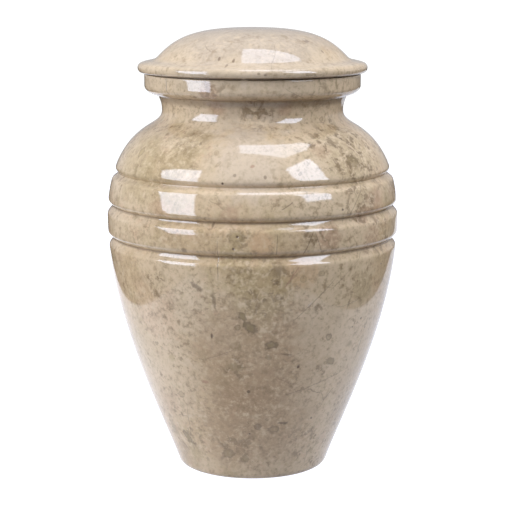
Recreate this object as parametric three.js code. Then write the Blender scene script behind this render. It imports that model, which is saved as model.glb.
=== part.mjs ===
// A cremation urn turned on a lathe from beige fossil limestone, polished all over.
// It is two pieces: a hollow vessel, and a solid lid whose spigot drops into the mouth and lifts off.
// Units are millimetres, +Z is up, and the origin is the middle of the underside.
// Each piece is one closed outline of (radius, height) points, revolved round +Z.
// A handle is where a cubic curve sets out towards, as a share of the stretch that it belongs to.
import * as THREE from "three";

const { lerp, degToRad } = THREE.MathUtils;

// Driving dimensions of the whole urn
const TOTAL_HEIGHT = 270;
const BELLY_RADIUS = 89;
const BELLY_HEIGHT = 155;
const WALL = 8;
const FLOOR = 14;

// Base and lower side
const FOOT_RADIUS = 46.6;
const FOOT_ROUND_RISE = 3.8;
const FOOT_ROUND_WIDTH = 4.4;
const FOOT_HANDLE = 0.55;
const SIDE_FLARE = 0.36;
const SIDE_LOW_HANDLE = 0.18;
const SIDE_TOP_HANDLE = 0.39;

// Three turned grooves, each a V with rounded lips
const LOWEST_GROOVE = 143.6;
const GROOVE_PITCH = 19.6;
const GROOVE_COUNT = 3;
const GROOVE_DEPTH = 3;
const GROOVE_REACH_UP = 3.9;
const GROOVE_REACH_DOWN = 5.2;

// Shoulder, neck and collar
const SHOULDER_HANDLE = 0.337;
const BEND_RADIUS = 66.2;
const BEND_HEIGHT = 209.3;
const BEND_SLOPE = 1.457;
const BEND_HANDLE = 0.23;
const NECK_RADIUS = 55.1;
const NECK_HEIGHT = 220.6;
const COVE_HANDLE = 0.358;
const COLLAR_EDGE_RADIUS = 57.3;
const COLLAR_EDGE_HEIGHT = 229.6;
const UNDER_COLLAR_OUT = 0.7;
const UNDER_COLLAR_UP = 0.75;
const COLLAR_RADIUS = 65.7;
const COLLAR_SWELL_TOP = 235.5;
const SWELL_HANDLE_RISE = 0.08;
const COLLAR_TOP = 242.8;
const COLLAR_ROUND = 1.2;

// Inside
const BORE_RADIUS = NECK_RADIUS - WALL;
const FLOOR_ROUND_IN = 0.35;
const FLOOR_ROUND_UP = 0.2;

// Lid
const SEAT_GAP = 0.3;
const FLANGE_RADIUS = 69.7;
const FLANGE_THICKNESS = 6;
const FLANGE_ROUND_END = 60;
const COVE_TOP_HANDLE = 250.4;
const COVE_SIDE_HANDLE = 0.35;
const DOME_FOOT_RADIUS = 57.5;
const DOME_FOOT_HEIGHT = 252.6;
const DOME_FOOT_SLOPE = 0.943;
const DOME_SIDE_HANDLE = 0.94;
const DOME_CROWN_HANDLE = 0.607;
const SPIGOT_CLEARANCE = 1;
const SPIGOT_DEPTH = 10;
const SPIGOT_CHAMFER = 1.2;

// How finely the round faces are cut: sides round the axis, and spans or places along each curve
const SIDES = 52;
const FOOT_SPANS = 3;
const SIDE_SPANS = 8;
const GROOVE_PLACES_BELOW = [-1, -0.55, -0.22, 0];
const GROOVE_PLACES_ABOVE = [0.3, 0.62, 1];
const SHOULDER_SPANS = 8;
const NECK_SPANS = 4;
const UNDER_COLLAR_SPANS = 3;
const SWELL_SPANS = 4;
const NECK_WALL_PLACES = [0.6, 0.25];
const SHOULDER_WALL_PLACES = [1, 0.85, 0.7, 0.5, 0.25];
const SIDE_WALL_PLACES = [1, 0.8, 0.6, 0.4, 0.2];
const FLANGE_SPANS = 6;
const COVE_SPANS = 4;
const DOME_SPANS = 10;
const HALVINGS = 40;

const STONE_COLOUR = 0xc6b595;
const STONE_ROUGHNESS = 0.12;

const at = (radius, height) => new THREE.Vector2(radius, height);

// A smooth stretch of outline between two points, with the first and last handles of a cubic.
function sweep(start, startHandle, endHandle, end) {
  return new THREE.CubicBezierCurve(start, startHandle, endHandle, end);
}

// The curve's point at a height, found by halving. Heights rise all along these curves.
function pointAtHeight(curve, height) {
  let low = 0;
  let high = 1;
  for (let step = 0; step < HALVINGS; step += 1) {
    const middle = (low + high) / 2;
    if (curve.getPoint(middle).y < height) {
      low = middle;
    } else {
      high = middle;
    }
  }
  return { point: curve.getPoint(high), tangent: curve.getTangent(high) };
}

// The lower side, from the rounded foot to the belly, where it stands upright.
function sideCurve() {
  const rise = BELLY_HEIGHT - FOOT_ROUND_RISE;
  const low = SIDE_LOW_HANDLE * rise;
  return sweep(
    at(FOOT_RADIUS, FOOT_ROUND_RISE),
    at(FOOT_RADIUS + SIDE_FLARE * low, FOOT_ROUND_RISE + low),
    at(BELLY_RADIUS, BELLY_HEIGHT - SIDE_TOP_HANDLE * rise),
    at(BELLY_RADIUS, BELLY_HEIGHT),
  );
}

// The shoulder, from the belly in to the point where it turns hollow.
function shoulderCurve() {
  const rise = BEND_HEIGHT - BELLY_HEIGHT;
  const back = BEND_HANDLE * rise;
  return sweep(
    at(BELLY_RADIUS, BELLY_HEIGHT),
    at(BELLY_RADIUS, BELLY_HEIGHT + SHOULDER_HANDLE * rise),
    at(BEND_RADIUS + BEND_SLOPE * back, BEND_HEIGHT - back),
    at(BEND_RADIUS, BEND_HEIGHT),
  );
}

// The hollow of the neck, from the end of the shoulder to the narrowest ring.
function neckCurve() {
  const rise = NECK_HEIGHT - BEND_HEIGHT;
  const on = COVE_HANDLE * rise;
  return sweep(
    at(BEND_RADIUS, BEND_HEIGHT),
    at(BEND_RADIUS - BEND_SLOPE * on, BEND_HEIGHT + on),
    at(NECK_RADIUS, NECK_HEIGHT - rise / 2),
    at(NECK_RADIUS, NECK_HEIGHT),
  );
}

// The hollow between the narrowest ring and the collar's lower edge.
function underCollarCurve() {
  return sweep(
    at(NECK_RADIUS, NECK_HEIGHT),
    at(NECK_RADIUS, (NECK_HEIGHT + COLLAR_EDGE_HEIGHT) / 2),
    at(
      lerp(NECK_RADIUS, COLLAR_EDGE_RADIUS, UNDER_COLLAR_OUT),
      lerp(NECK_HEIGHT, COLLAR_EDGE_HEIGHT, UNDER_COLLAR_UP),
    ),
    at(COLLAR_EDGE_RADIUS, COLLAR_EDGE_HEIGHT),
  );
}

// The collar's swelling underside, from its lower edge to where it stands upright.
function swellCurve() {
  return sweep(
    at(COLLAR_EDGE_RADIUS, COLLAR_EDGE_HEIGHT),
    at(
      (COLLAR_EDGE_RADIUS + COLLAR_RADIUS) / 2,
      lerp(COLLAR_EDGE_HEIGHT, COLLAR_SWELL_TOP, SWELL_HANDLE_RISE),
    ),
    at(COLLAR_RADIUS, (COLLAR_EDGE_HEIGHT + COLLAR_SWELL_TOP) / 2),
    at(COLLAR_RADIUS, COLLAR_SWELL_TOP),
  );
}

const grooveHeights = Array.from({ length: GROOVE_COUNT }, (_, i) => LOWEST_GROOVE + i * GROOVE_PITCH);

// How deep the grooves cut at a height: the square of the distance left to the lip.
function grooveCut(height) {
  let cut = 0;
  for (const middle of grooveHeights) {
    const reach = height > middle ? GROOVE_REACH_UP : GROOVE_REACH_DOWN;
    const share = Math.max(0, 1 - Math.abs(height - middle) / reach);
    cut += GROOVE_DEPTH * share * share;
  }
  return cut;
}

// The heights at which the grooved side is cut into facets: evenly between grooves, closely in them.
function sideHeights() {
  const heights = [];
  const firstLip = grooveHeights[0] - GROOVE_REACH_DOWN;
  for (let i = 0; i < SIDE_SPANS; i += 1) {
    heights.push(lerp(FOOT_ROUND_RISE, firstLip, i / SIDE_SPANS));
  }
  for (const middle of grooveHeights) {
    for (const place of GROOVE_PLACES_BELOW) {
      heights.push(middle + place * GROOVE_REACH_DOWN);
    }
    for (const place of GROOVE_PLACES_ABOVE) {
      heights.push(middle + place * GROOVE_REACH_UP);
    }
  }
  const lastLip = heights.at(-1);
  for (let i = 1; i <= SHOULDER_SPANS; i += 1) {
    heights.push(lerp(lastLip, BEND_HEIGHT, i / SHOULDER_SPANS));
  }
  return heights;
}

// The rounded edge between the flat underside and the side.
function footCurve() {
  const flatRadius = FOOT_RADIUS - FOOT_ROUND_WIDTH;
  return sweep(
    at(flatRadius, 0),
    at(flatRadius + FOOT_HANDLE * FOOT_ROUND_WIDTH, 0),
    at(FOOT_RADIUS - (SIDE_FLARE * FOOT_ROUND_RISE) / 2, FOOT_ROUND_RISE / 2),
    at(FOOT_RADIUS, FOOT_ROUND_RISE),
  );
}

// The outside of the vessel, from the middle of the underside up to the collar's top face.
function vesselOutside() {
  const side = sideCurve();
  const shoulder = shoulderCurve();
  const grooved = sideHeights().map((height) => {
    const { point } = pointAtHeight(height < BELLY_HEIGHT ? side : shoulder, height);
    return at(point.x - grooveCut(height), height);
  });
  const edgeMiddle = COLLAR_ROUND * (1 - Math.SQRT1_2);
  return [
    at(0, 0),
    ...footCurve().getPoints(FOOT_SPANS),
    ...grooved.slice(1),
    ...neckCurve().getPoints(NECK_SPANS).slice(1),
    ...underCollarCurve().getPoints(UNDER_COLLAR_SPANS).slice(1),
    ...swellCurve().getPoints(SWELL_SPANS).slice(1),
    at(COLLAR_RADIUS, COLLAR_TOP - COLLAR_ROUND),
    at(COLLAR_RADIUS - edgeMiddle, COLLAR_TOP - edgeMiddle),
    at(COLLAR_RADIUS - COLLAR_ROUND, COLLAR_TOP),
  ];
}

// A point of a curve moved inwards by the wall, square to the curve.
function insideOf({ point, tangent }) {
  return at(point.x - tangent.y * WALL, point.y + tangent.x * WALL);
}

// The inside of a curve at the given places, which are shares of its length parameter.
function wallInside(curve, places) {
  return places.map((t) => insideOf({ point: curve.getPoint(t), tangent: curve.getTangent(t) }));
}

// The inside of the vessel, from the mouth down to the middle of the floor.
function vesselInside() {
  const side = sideCurve();
  const floorRound = FLOOR + WALL;
  const sideWall = SIDE_WALL_PLACES.map((place) =>
    insideOf(pointAtHeight(side, lerp(floorRound, BELLY_HEIGHT, place))),
  );
  const corner = insideOf(pointAtHeight(side, floorRound));
  return [
    at(BORE_RADIUS, COLLAR_TOP),
    at(BORE_RADIUS, NECK_HEIGHT),
    ...wallInside(neckCurve(), NECK_WALL_PLACES),
    ...wallInside(shoulderCurve(), SHOULDER_WALL_PLACES),
    ...sideWall,
    corner,
    at(corner.x - WALL * FLOOR_ROUND_IN, FLOOR + WALL * FLOOR_ROUND_UP),
    at(corner.x - WALL, FLOOR),
    at(0, FLOOR),
  ];
}

// The round edge of the flange, from its underside out and up to where the cove starts.
function flangeEdge(seat) {
  const round = FLANGE_THICKNESS / 2;
  const points = [];
  for (let i = 0; i <= FLANGE_SPANS; i += 1) {
    const angle = degToRad(lerp(-90, FLANGE_ROUND_END, i / FLANGE_SPANS));
    points.push(at(FLANGE_RADIUS - round + Math.cos(angle) * round, seat + round + Math.sin(angle) * round));
  }
  return points;
}

// The lid's outline, from the middle of the spigot's underside out, up and back to the crown.
function lidOutline() {
  const seat = COLLAR_TOP + SEAT_GAP;
  const bottom = seat - SPIGOT_DEPTH;
  const spigot = BORE_RADIUS - SPIGOT_CLEARANCE;
  const edge = flangeEdge(seat);
  const flangeTop = edge.at(-1);
  const foot = at(DOME_FOOT_RADIUS, DOME_FOOT_HEIGHT);
  const domeRise = TOTAL_HEIGHT - DOME_FOOT_HEIGHT;
  const climb = at(-1, 1 / DOME_FOOT_SLOPE).normalize();
  const coveReach = COVE_SIDE_HANDLE * flangeTop.distanceTo(foot);
  const cove = sweep(
    flangeTop,
    at(flangeTop.x - coveReach, COVE_TOP_HANDLE),
    foot.clone().addScaledVector(climb, -coveReach),
    foot,
  );
  const dome = sweep(
    foot,
    foot.clone().addScaledVector(climb, DOME_SIDE_HANDLE * domeRise),
    at(DOME_CROWN_HANDLE * DOME_FOOT_RADIUS, TOTAL_HEIGHT),
    at(0, TOTAL_HEIGHT),
  );
  return [
    at(0, bottom),
    at(spigot - SPIGOT_CHAMFER, bottom),
    at(spigot, bottom + SPIGOT_CHAMFER),
    at(spigot, seat),
    ...edge,
    ...cove.getPoints(COVE_SPANS).slice(1),
    ...dome.getPoints(DOME_SPANS).slice(1),
  ];
}

const stone = new THREE.MeshStandardMaterial({
  color: STONE_COLOUR,
  roughness: STONE_ROUGHNESS,
  metalness: 0,
});

// Revolves an outline round the upright axis. The lathe turns about +Y, so the mesh is tipped up to +Z.
function turned(name, outline) {
  const mesh = new THREE.Mesh(new THREE.LatheGeometry(outline, SIDES), stone.clone());
  mesh.name = name;
  mesh.rotation.x = Math.PI / 2;
  return mesh;
}

const urn = new THREE.Group();
urn.name = "cremation_urn";
urn.add(turned("urn_body", [...vesselOutside(), ...vesselInside()]));
urn.add(turned("lid", lidOutline()));

export default urn;
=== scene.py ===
"""A cremation urn, turned on a lathe from one beige fossil limestone and polished to a mirror gloss.

The vessel and its lid are surfaces of revolution, worked out as whole numpy arrays from the turner's
outlines. The stone's figure is a solid pattern in object space, so it runs through both pieces as it
runs through a block. Sizes are millimetres unless a name says metres. +Z is up, and the origin is the
middle of the underside.
"""
import logging
import math
from collections.abc import Sequence
from dataclasses import dataclass
from enum import IntEnum

import bpy
import numpy as np
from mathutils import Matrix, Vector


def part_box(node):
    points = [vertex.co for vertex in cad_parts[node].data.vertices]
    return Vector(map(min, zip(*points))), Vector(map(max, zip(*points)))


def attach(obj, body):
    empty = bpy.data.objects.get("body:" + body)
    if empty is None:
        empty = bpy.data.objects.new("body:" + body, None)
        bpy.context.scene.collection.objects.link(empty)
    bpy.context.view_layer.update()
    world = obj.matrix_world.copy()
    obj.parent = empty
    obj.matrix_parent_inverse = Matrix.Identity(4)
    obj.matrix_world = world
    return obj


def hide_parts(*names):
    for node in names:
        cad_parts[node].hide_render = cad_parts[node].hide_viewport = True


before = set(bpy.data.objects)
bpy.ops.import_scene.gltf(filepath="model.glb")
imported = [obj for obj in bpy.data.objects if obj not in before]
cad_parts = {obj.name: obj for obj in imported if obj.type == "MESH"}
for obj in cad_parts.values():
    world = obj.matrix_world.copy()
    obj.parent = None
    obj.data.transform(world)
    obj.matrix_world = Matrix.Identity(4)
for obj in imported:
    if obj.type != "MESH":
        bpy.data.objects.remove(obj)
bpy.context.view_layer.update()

METRES = 0.001
MILLIMETRES = 1000.0

log = logging.getLogger("urn")

Colour = tuple[float, float, float]
Place = tuple[float, float, float]
Point = tuple[float, float]
Span = tuple[float, float]

ORIGIN: Place = (0.0, 0.0, 0.0)
WHITE: Colour = (1.0, 1.0, 1.0)


class Finish(IntEnum):
    """How a turned face was left, which is also its material's place on the mesh."""

    POLISHED = 0
    TURNED = 1


# Outlines of (radius, height)


def bezier(start: Point, start_handle: Point, end_handle: Point, end: Point, count: int) -> np.ndarray:
    """Gives points along a cubic curve, the four points weighted by the Bernstein terms of t.

    Args:
        start: Where the curve begins.
        start_handle: The point it sets out towards.
        end_handle: The point it comes in from.
        end: Where the curve ends.
        count: How many points, both ends included.

    Returns:
        An array of count rows of (radius, height).
    """
    t = np.linspace(0.0, 1.0, count)[:, None]
    s = 1.0 - t
    weights = (s**3, 3 * s**2 * t, 3 * s * t**2, t**3)
    corners = (start, start_handle, end_handle, end)
    return sum(weight * np.array(corner, float) for weight, corner in zip(weights, corners))


def arc(centre: Point, radius: float, from_degrees: float, to_degrees: float, count: int) -> np.ndarray:
    """Gives points along a round edge: the centre plus the radius turned through the angles.

    Args:
        centre: The middle of the arc.
        radius: Its radius.
        from_degrees: The angle of the first point, 0 being straight out.
        to_degrees: The angle of the last point.
        count: How many points, both ends included.

    Returns:
        An array of count rows of (radius, height).
    """
    angle = np.radians(np.linspace(from_degrees, to_degrees, count))
    return np.stack([centre[0] + radius * np.cos(angle), centre[1] + radius * np.sin(angle)], axis=1)


def between(start: Point, end: Point, count: int) -> np.ndarray:
    """Gives evenly spaced points along a straight line, both ends included."""
    return np.linspace(start, end, count)


def mix(a: float, b: float, share: float) -> float:
    """Gives the number that lies the given share of the way from a to b."""
    return a + (b - a) * share


def radius_at(curve: np.ndarray, heights: np.ndarray) -> np.ndarray:
    """Gives the radius of a rising curve at each height, read off between its points."""
    return np.interp(heights, curve[:, 1], curve[:, 0])


def inset(curve: np.ndarray, wall: float) -> np.ndarray:
    """Moves a curve in by the wall, square to itself: each point less the wall times its outward normal.

    Args:
        curve: Rows of (radius, height) that rise.
        wall: The wall's thickness.

    Returns:
        The same number of rows, inside the wall.
    """
    step = np.gradient(curve, axis=0)
    step /= np.linalg.norm(step, axis=1)[:, None]
    return curve + wall * np.stack([-step[:, 1], step[:, 0]], axis=1)


class Outline:
    """The outline of a turned piece, from the axis below round to the axis again."""

    def __init__(self) -> None:
        """Starts with no points."""
        self.spans: list[np.ndarray] = []
        self.finishes: list[np.ndarray] = []

    def run(self, points: np.ndarray, finish: Finish) -> None:
        """Adds points, without the first where it repeats the last one, with the finish of their faces.

        Args:
            points: Rows of (radius, height).
            finish: How the faces that lead to these points were left.
        """
        if self.spans and np.allclose(self.spans[-1][-1], points[0], atol=1e-6):
            points = points[1:]
        self.spans.append(points)
        self.finishes.append(np.full(len(points), int(finish)))

    def points(self) -> np.ndarray:
        """Gives all points as rows of (radius, height)."""
        return np.concatenate(self.spans)

    def face_finishes(self) -> np.ndarray:
        """Gives the finish of the faces between each point and the next."""
        return np.concatenate(self.finishes)[1:]


@dataclass(frozen=True)
class Unevenness:
    """The slight waviness that hand polishing leaves, which bends the reflections a little.

    The radius gains a sum of waves, each the cosine of a whole number of lobes round the axis times the
    cosine of the height over a wavelength, both with a phase drawn from the seed.
    """

    seed: int
    depth: float = 0.016
    lobes: tuple[int, ...] = (2, 3, 5, 7, 11)
    wavelengths: tuple[float, ...] = (150.0, 64.0, 95.0, 41.0, 53.0)

    def added(self, angles: np.ndarray, heights: np.ndarray) -> np.ndarray:
        """Gives what the radius gains.

        Args:
            angles: The angles of the columns.
            heights: The heights of the rows.

        Returns:
            An array of one row a height and one column an angle.
        """
        phases = np.random.default_rng(self.seed).uniform(0, 2 * math.pi, (len(self.lobes), 2))
        total = np.zeros((len(heights), len(angles)))
        for lobes, wavelength, (turn, rise) in zip(self.lobes, self.wavelengths, phases):
            round_it = np.cos(lobes * angles + turn)
            up_it = np.cos(2 * math.pi * heights / wavelength + rise)
            total += np.outer(up_it, round_it) / math.sqrt(lobes)
        return self.depth * total


def turned_piece(name: str, outline: Outline, columns: int, unevenness: Unevenness) -> bpy.types.Object:
    """Turns an outline round the axis into one closed mesh.

    The point at angle a and outline place s is (r cos a, r sin a, height), where r is the outline's
    radius at s plus the unevenness there. The two ends, on the axis, are one point each.

    Args:
        name: The object's name.
        outline: The outline, from the axis to the axis.
        columns: How many columns go round.
        unevenness: What the polisher left.

    Returns:
        The new object, at the origin, with smooth faces.
    """
    points = outline.points()
    rows = points[1:-1]
    angles = np.arange(columns) * (2 * math.pi / columns)
    radius = rows[:, :1] + unevenness.added(angles, rows[:, 1])
    height = np.broadcast_to(rows[:, 1:], radius.shape)
    grid = np.stack([radius * np.cos(angles), radius * np.sin(angles), height], axis=2).reshape(-1, 3)
    ends = np.array([[0.0, 0.0, points[0, 1]], [0.0, 0.0, points[-1, 1]]])
    vertices = np.concatenate([grid, ends]) * METRES
    first_end = len(grid)
    last_end = len(grid) + 1

    column = np.arange(columns)
    beside = (column + 1) % columns
    row = np.arange(len(rows) - 1)[:, None] * columns
    quads = np.stack([row + column, row + beside, row + columns + beside, row + columns + column], axis=2)
    low_fan = np.stack([np.full(columns, first_end), beside, column], axis=1)
    top_row = (len(rows) - 1) * columns
    high_fan = np.stack([top_row + column, top_row + beside, np.full(columns, last_end)], axis=1)

    mesh = bpy.data.meshes.new(name)
    faces = low_fan.tolist() + quads.reshape(-1, 4).tolist() + high_fan.tolist()
    mesh.from_pydata(vertices.tolist(), [], faces)
    mesh.polygons.foreach_set("use_smooth", np.ones(len(faces), bool))
    mesh.polygons.foreach_set("material_index", np.repeat(outline.face_finishes(), columns).astype(np.int32))
    mesh.update()
    mesh.validate()
    piece = bpy.data.objects.new(name, mesh)
    bpy.context.scene.collection.objects.link(piece)
    return piece


# The two pieces


@dataclass
class Vessel:
    """The hollow vessel: a flat base, a tapering side with three grooves, a shoulder, a neck and a collar."""

    collar_top: float
    belly_radius: float = 89.0
    belly_height: float = 155.0
    wall: float = 8.0
    floor: float = 14.0
    foot_radius: float = 46.6
    foot_round_rise: float = 3.8
    foot_round_width: float = 4.4
    foot_handle: float = 0.55
    side_flare: float = 0.36
    side_low_handle: float = 0.18
    side_top_handle: float = 0.39
    lowest_groove: float = 143.6
    groove_pitch: float = 19.6
    groove_count: int = 3
    groove_depth: float = 3.0
    groove_reach_up: float = 3.9
    groove_reach_down: float = 6.2
    groove_bottom: float = 0.06
    groove_flanks: tuple[float, ...] = (4.5, 4.3, 3.2)
    groove_hollow: float = 1.5
    groove_lip: float = 0.75
    groove_end_fade: float = 5.0
    groove_rows_below: tuple[float, ...] = (
        1.0, 0.93, 0.87, 0.83, 0.8, 0.775, 0.75, 0.72, 0.67, 0.6, 0.52, 0.43, 0.33, 0.22, 0.12, 0.05)
    groove_rows_above: tuple[float, ...] = (0.0, 0.05, 0.12, 0.2, 0.3, 0.42, 0.56, 0.7, 0.85, 1.0)
    side_rows: int = 50
    land_rows: int = 7
    shoulder_rows: int = 16
    shoulder_handle: float = 0.337
    bend_radius: float = 66.2
    bend_height: float = 209.3
    bend_slope: float = 1.457
    bend_handle: float = 0.23
    neck_radius: float = 55.1
    neck_height: float = 220.6
    cove_handle: float = 0.358
    collar_edge_radius: float = 57.3
    collar_edge_height: float = 229.6
    collar_radius: float = 65.7
    collar_swell_top: float = 235.5
    collar_round: float = 1.2
    collar_band_start: float = 0.6
    under_neck_handle: float = 0.5
    under_edge_handle: Point = (0.3, 0.25)
    swell_low_handle: Point = (0.5, 0.08)
    swell_top_handle: float = 0.5
    bore_lip: float = 0.8
    floor_wall_handle: Point = (0.15, 0.4)
    floor_flat_handle: float = 0.45
    columns: int = 360

    @property
    def bore_radius(self) -> float:
        """Gives the radius of the hole through the neck."""
        return self.neck_radius - self.wall

    def side(self, count: int = 400) -> np.ndarray:
        """Gives the side from the foot up to the belly, before the grooves are cut."""
        rise = self.belly_height - self.foot_round_rise
        low = self.side_low_handle * rise
        return bezier(
            (self.foot_radius, self.foot_round_rise),
            (self.foot_radius + self.side_flare * low, self.foot_round_rise + low),
            (self.belly_radius, self.belly_height - self.side_top_handle * rise),
            (self.belly_radius, self.belly_height),
            count,
        )

    def shoulder(self, count: int = 400) -> np.ndarray:
        """Gives the shoulder from the belly up to the bend under the neck."""
        rise = self.bend_height - self.belly_height
        back = self.bend_handle * rise
        return bezier(
            (self.belly_radius, self.belly_height),
            (self.belly_radius, self.belly_height + self.shoulder_handle * rise),
            (self.bend_radius + self.bend_slope * back, self.bend_height - back),
            (self.bend_radius, self.bend_height),
            count,
        )

    def neck(self, count: int) -> np.ndarray:
        """Gives the hollow curve from the bend in to the neck."""
        rise = self.neck_height - self.bend_height
        out = self.cove_handle * rise
        return bezier(
            (self.bend_radius, self.bend_height),
            (self.bend_radius - self.bend_slope * out, self.bend_height + out),
            (self.neck_radius, self.neck_height - rise / 2),
            (self.neck_radius, self.neck_height),
            count,
        )

    def groove_middles(self) -> np.ndarray:
        """Gives the height of each groove's bottom."""
        return self.lowest_groove + self.groove_pitch * np.arange(self.groove_count)

    def groove_cut(self, heights: np.ndarray) -> np.ndarray:
        """Gives how deep the grooves cut in, above and below their bottoms.

        Above, it is the depth times the square of 1 less the way out to the lip. Below, a is the depth
        times 1 less the way out to the lip raised to the hollow, and the cut is half of a and of the root
        of a squared plus the lip's rounding squared.

        Args:
            heights: The heights to read.

        Returns:
            The depth at each height, 0 on the lands between the grooves.
        """
        away = heights[:, None] - self.groove_middles()
        share = np.sqrt((away / self.groove_reach_up) ** 2 + self.groove_bottom**2) - self.groove_bottom
        above = self.groove_depth * np.clip(1 - share, 0, 1) ** 2
        out = np.clip(-away, 0, self.groove_reach_down) / np.array(self.groove_flanks)
        fall = self.groove_depth * (1 - out**self.groove_hollow)
        below = (fall + np.sqrt(fall**2 + self.groove_lip**2)) / 2
        fade = np.clip(1 + away / self.groove_reach_down, 0, 1)
        return np.where(away > 0, above, below * np.minimum(1, self.groove_end_fade * fade)).sum(axis=1)

    def side_heights(self) -> np.ndarray:
        """Gives the heights of the rows on the side, close together in the grooves."""
        middles = self.groove_middles()
        below = np.array(self.groove_rows_below)
        above = np.array(self.groove_rows_above)
        foot_end = middles[0] - self.groove_reach_down
        spans = [np.linspace(self.foot_round_rise, foot_end, self.side_rows, endpoint=False)]
        for middle in middles:
            spans.append(middle - below * self.groove_reach_down)
            spans.append(middle + above * self.groove_reach_up)
            land_end = min(middle + self.groove_pitch - self.groove_reach_down, self.bend_height)
            land_start = middle + self.groove_reach_up
            spans.append(np.linspace(land_start, land_end, self.land_rows)[1:-1])
        last_lip = middles[-1] + self.groove_reach_up
        rest = np.linspace(last_lip, self.bend_height, self.shoulder_rows)[1:]
        return np.concatenate(spans[:-1] + [rest])

    def outline(self) -> Outline:
        """Gives the whole outline: the underside, the outside, the collar, the bore and the inside."""
        line = Outline()
        flat_radius = self.foot_radius - self.foot_round_width
        line.run(between((0, 0), (flat_radius, 0), 8), Finish.TURNED)
        foot = bezier(
            (flat_radius, 0),
            (flat_radius + self.foot_handle * self.foot_round_width, 0),
            (self.foot_radius - self.side_flare * self.foot_round_rise / 2, self.foot_round_rise / 2),
            (self.foot_radius, self.foot_round_rise),
            9,
        )
        line.run(foot, Finish.POLISHED)

        smooth = np.concatenate([self.side(), self.shoulder()[1:]])
        heights = self.side_heights()
        grooved = radius_at(smooth, heights) - self.groove_cut(heights)
        line.run(np.stack([grooved, heights], axis=1), Finish.POLISHED)
        line.run(self.neck(14), Finish.POLISHED)
        self.run_collar(line)
        self.run_inside(line)
        return line

    def run_collar(self, line: Outline) -> None:
        """Adds the hollow under the collar, the collar's swell and its rounded top edge."""
        edge = (self.collar_edge_radius, self.collar_edge_height)
        neck = (self.neck_radius, self.neck_height)
        under = bezier(
            neck,
            (neck[0], mix(neck[1], edge[1], self.under_neck_handle)),
            (mix(edge[0], neck[0], self.under_edge_handle[0]),
             mix(edge[1], neck[1], self.under_edge_handle[1])),
            edge,
            10,
        )
        line.run(under, Finish.POLISHED)
        swell = bezier(
            edge,
            (mix(edge[0], self.collar_radius, self.swell_low_handle[0]),
             mix(edge[1], self.collar_swell_top, self.swell_low_handle[1])),
            (self.collar_radius, mix(edge[1], self.collar_swell_top, self.swell_top_handle)),
            (self.collar_radius, self.collar_swell_top),
            14,
        )
        line.run(swell, Finish.POLISHED)
        corner = (self.collar_radius - self.collar_round, self.collar_top - self.collar_round)
        band_start = (self.collar_radius, self.collar_swell_top + self.collar_band_start)
        line.run(between(band_start, (self.collar_radius, corner[1]), 5), Finish.POLISHED)
        line.run(arc(corner, self.collar_round, 0, 90, 7), Finish.POLISHED)

    def run_inside(self, line: Outline) -> None:
        """Adds the seat, the bore and the inside, which lies one wall's thickness in from the outside."""
        bore = self.bore_radius
        lip = self.bore_lip
        seat_outer = (self.collar_radius - self.collar_round, self.collar_top)
        line.run(between(seat_outer, (bore + lip, self.collar_top), 6), Finish.TURNED)
        line.run(arc((bore + lip, self.collar_top - lip), lip, 90, 180, 5), Finish.TURNED)
        line.run(between((bore, self.collar_top - 2 * lip), (bore, self.neck_height), 5), Finish.TURNED)
        outside = np.concatenate([self.side(120), self.shoulder(60)[1:], self.neck(30)[1:]])
        wall = inset(outside, self.wall)
        wall = wall[(wall[:, 0] >= bore) | (wall[:, 1] < self.belly_height)]
        wall = wall[np.concatenate([[True], np.diff(wall[:, 1]) > 0])]
        floor_round = self.wall
        heights = np.linspace(self.floor + floor_round, wall[-1, 1], 34)
        inside = np.stack([radius_at(wall, heights), heights], axis=1)[::-1]
        line.run(inside, Finish.TURNED)
        corner = inside[-1]
        rounding = bezier(
            tuple(corner),
            (corner[0] - self.floor_wall_handle[0] * floor_round,
             self.floor + self.floor_wall_handle[1] * floor_round),
            (corner[0] - self.floor_flat_handle * floor_round, self.floor),
            (corner[0] - floor_round, self.floor),
            6,
        )
        line.run(rounding, Finish.TURNED)
        line.run(between((corner[0] - floor_round, self.floor), (0, self.floor), 6), Finish.TURNED)

    def build(self) -> bpy.types.Object:
        """Makes the vessel's mesh."""
        return turned_piece("vessel", self.outline(), self.columns, Unevenness(seed=11))


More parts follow.
